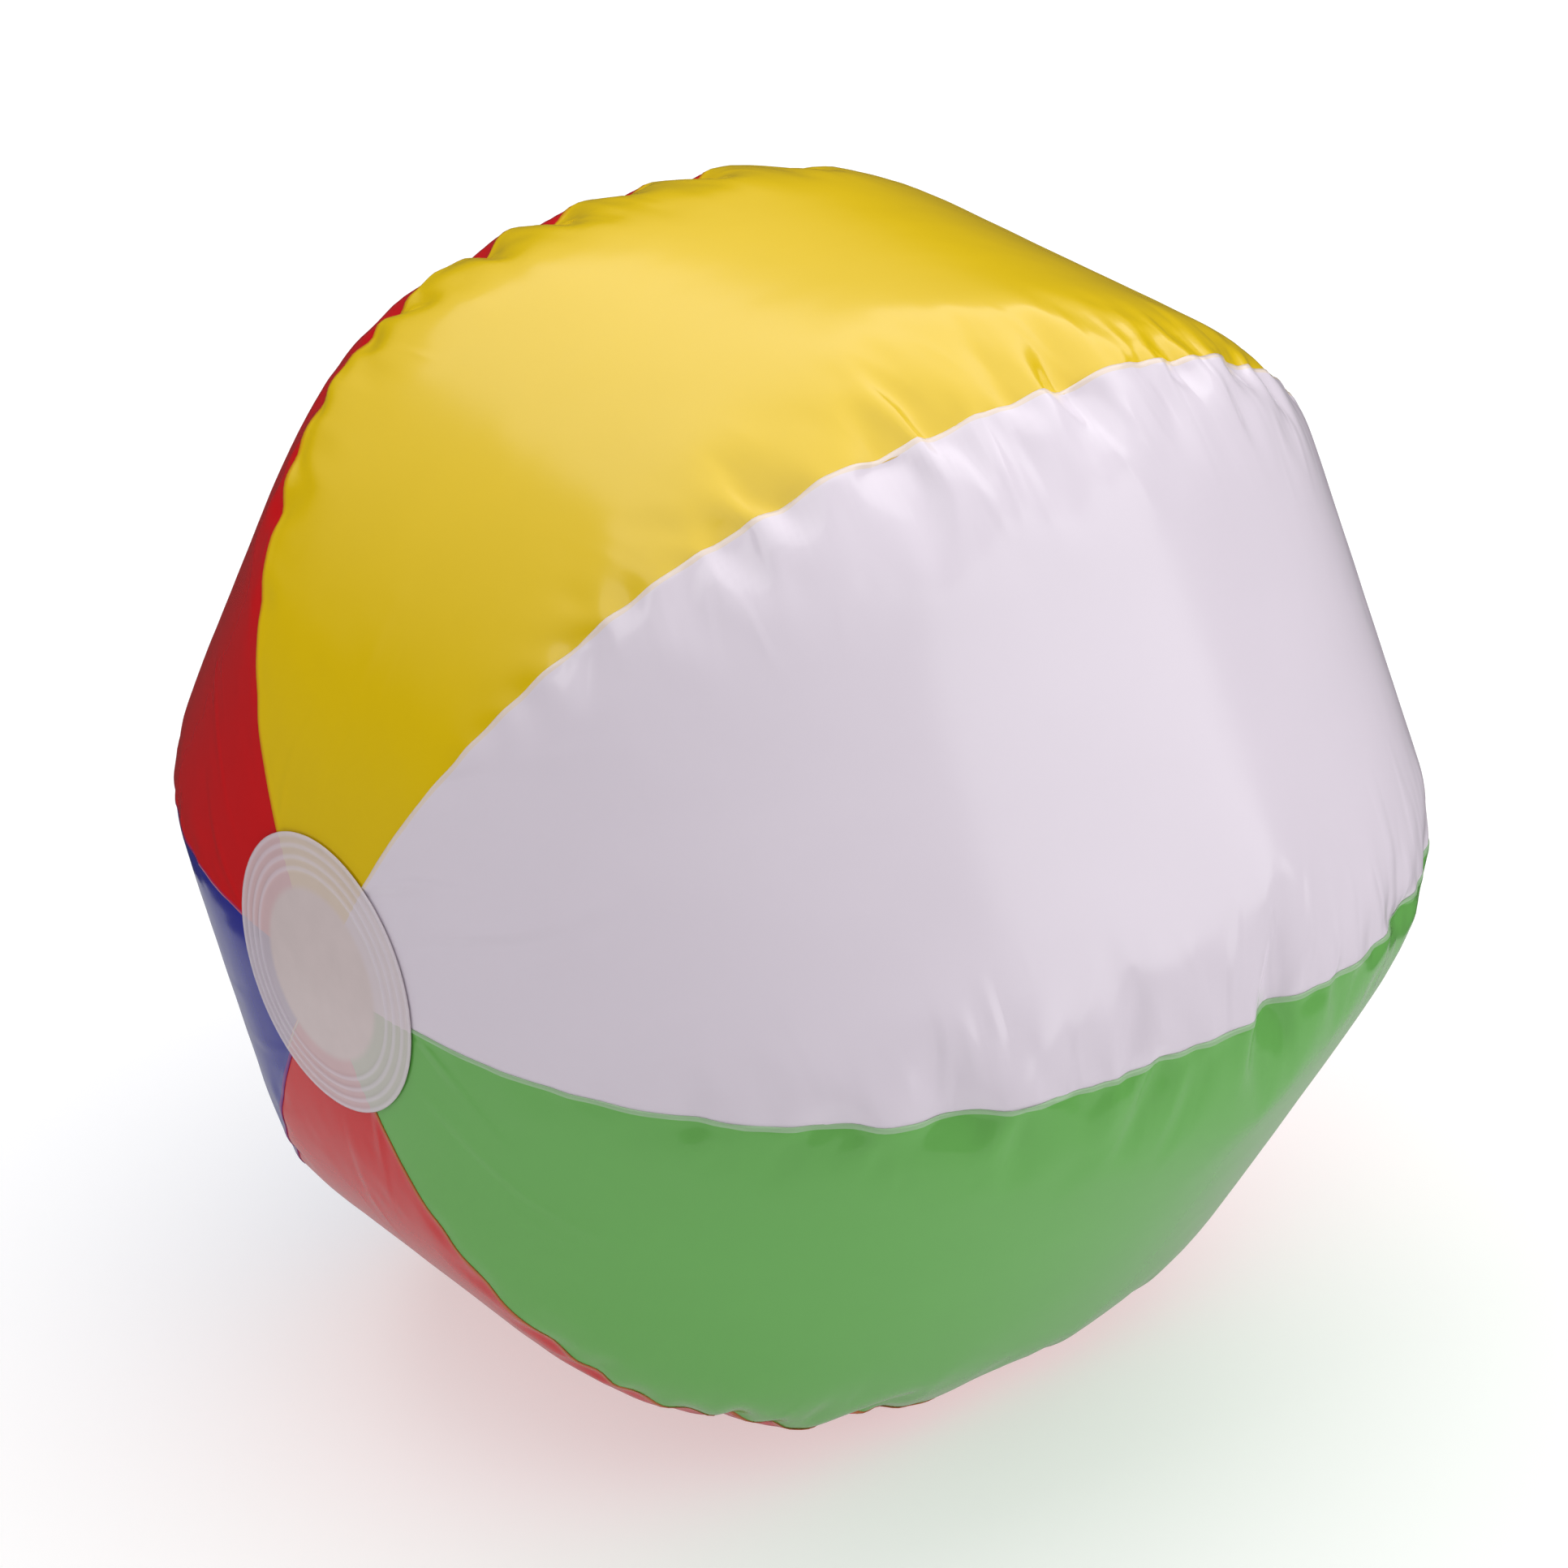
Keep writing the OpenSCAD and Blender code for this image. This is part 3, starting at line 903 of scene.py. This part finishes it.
def lay_floor(context):
    """A wide pale floor, lit from below and more so far out, and a round board under the ball.
    Only the board shows in the gloss of the film, so the floor doesn't veil the dark colours."""
    floor_w = 12
    board_r = 0.37
    board_middle = (-0.06, -0.05)
    board_top = -0.2 * MM
    near_glow = 0.55
    far_glow = 0.9
    gloss_share = 0.7                     # how bright the board looks in the gloss
    material, tree, shader = new_material("lit_acrylic", Roughness=0.8)
    shader.inputs["Emission Color"].default_value = colour("floor")
    from_middle = add_node(tree, "VectorMath", add_node(tree, "TexCoord").outputs["Object"],
                           operation="LENGTH")
    glow = add_node(tree, "MapRange", from_middle, 2 * board_r, 6 * board_r,
                    near_glow, far_glow)
    in_gloss = add_node(tree, "LightPath").outputs["Is Glossy Ray"]
    glow = add_node(tree, "Math", glow, add_node(tree, "Mix", in_gloss, 1.0, gloss_share),
                    operation="MULTIPLY")
    link(tree, glow, shader.inputs["Emission Strength"])
    dimmed = add_node(tree, "Mix", in_gloss, colour("floor", 0.6), colour("floor", 0.1),
                      data_type="RGBA")
    link(tree, dimmed, shader.inputs["Base Color"])
    deselect()
    bpy.ops.mesh.primitive_plane_add(size=floor_w, location=(0, 0, 2 * board_top))
    floor = context.object
    floor.visible_glossy = False
    bpy.ops.mesh.primitive_circle_add(vertices=128, radius=board_r, fill_type="NGON",
                                      location=(*board_middle, board_top))
    board = context.object
    for name, piece in (("studio_floor", floor), ("studio_board", board)):
        piece.name = name
        piece.data.materials.append(material)


def glowing_sheet(name, points, strength):
    """A light: a flat shape that glows and that the camera doesn't see."""
    lamp = sheet_mesh(name, points, [tuple(range(len(points)))])
    material = bpy.data.materials.new("diffuser_cloth")
    material.use_nodes = True
    tree = material.node_tree
    tree.nodes.clear()
    add_node(tree, "OutputMaterial", add_node(tree, "Emission", (1, 1, 1, 1), strength))
    lamp.data.materials.append(material)
    lamp.visible_camera = False


def direction(azimuth, elevation):
    """Unit vectors towards a place round the ball, to its right, and up, from angles in
    degrees. Azimuth zero is in front of the ball."""
    azimuth, elevation = math.radians(azimuth), math.radians(elevation)
    toward = Vector((math.sin(azimuth) * math.cos(elevation),
                     -math.cos(azimuth) * math.cos(elevation), math.sin(elevation)))
    right = Vector((math.cos(azimuth), math.sin(azimuth), 0))
    return toward, right, toward.cross(right)


def hang_soft_boxes():
    """A wide box overhead with a curved edge, and a square one in front to the right."""
    overhead_z = 1.2
    overhead_corners = ((-1.9, -0.3), (-0.81, 0.37), (-0.47, 0.78), (-0.26, 1.08), (0, 1.28),
                        (1.55, 1.06), (2.0, 0.3), (1.2, -0.5))
    overhead = [CENTRE + overhead_z * Vector((x, y, 1)) for x, y in overhead_corners]
    glowing_sheet("overhead_box", overhead, 1.95)
    front_away, half_w, half_h = 1.7, 0.8, 0.65
    toward, right, up = direction(28, 20)
    front = [CENTRE + front_away * toward + half_w * x * right + half_h * y * up
             for x, y in ((-1, -1), (1, -1), (1, 1), (-1, 1))]
    glowing_sheet("front_box", front, 1.8)


def light_room(scene):
    """White walls for the camera. The gloss sees them dark below and bright overhead."""
    low, high = 0.15, 0.7                 # heights of the change, on a unit sphere
    dark, bright = 0.04, 0.9
    fill = 0.32
    world = bpy.data.worlds.new("studio")
    world.use_nodes = True
    tree = world.node_tree
    path = add_node(tree, "LightPath")
    upward = add_node(tree, "SeparateXYZ", add_node(tree, "TexCoord").outputs["Generated"])
    walls = add_node(tree, "MapRange", upward.outputs["Z"], low, high, dark, bright)
    lighting = add_node(tree, "Mix", path.outputs["Is Glossy Ray"], fill, walls)
    strength = add_node(tree, "Mix", path.outputs["Is Camera Ray"], lighting, 1.0)
    background = tree.nodes["Background"]
    background.inputs["Color"].default_value = (1, 1, 1, 1)
    link(tree, strength, background.inputs["Strength"])
    scene.world = world
    scene.view_settings.view_transform = "Standard"


def place_camera(scene):
    """A long lens, a little above the ball and to the left of its front."""
    away = 9.711 * BELLY_R
    toward, right, up = direction(-38.58, 29.31)
    aim = CENTRE - 0.0212 * BELLY_R * right + 0.007 * BELLY_R * up
    camera = bpy.data.cameras.new("camera")
    camera.sensor_width = 36
    camera.lens = 128.1
    eye = bpy.data.objects.new("camera", camera)
    eye.location = aim + away * toward
    eye.rotation_euler = toward.to_track_quat("Z", "Y").to_euler()
    bpy.context.collection.objects.link(eye)
    scene.camera = eye


class BALL_PT_panel(bpy.types.Panel):
    """The steps of the ball in the sidebar, in their order"""
    bl_label = "Beach Ball"
    bl_idname = "BALL_PT_panel"
    bl_space_type = "VIEW_3D"
    bl_region_type = "UI"
    bl_category = "Beach Ball"

    def draw(self, context):
        for step in STEPS:
            self.layout.operator(step.bl_idname)


STEPS = (BALL_OT_panels, BALL_OT_discs, BALL_OT_valve, BALL_OT_plug, BALL_OT_stage)
CLASSES = (BallSizes, BallColours, *STEPS, BALL_PT_panel)


def register():
    for cls in CLASSES:
        bpy.utils.register_class(cls)
    bpy.types.Scene.ball_sizes = PointerProperty(type=BallSizes)
    bpy.types.Scene.ball_colours = PointerProperty(type=BallColours)


def unregister():
    del bpy.types.Scene.ball_colours
    del bpy.types.Scene.ball_sizes
    for cls in reversed(CLASSES):
        bpy.utils.unregister_class(cls)


def main():
    register()
    bpy.ops.ball.panels()
    bpy.ops.ball.discs()
    bpy.ops.ball.valve()
    bpy.ops.ball.plug()
    bpy.ops.ball.stage()
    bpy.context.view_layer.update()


if __name__ == "__main__":
    main()
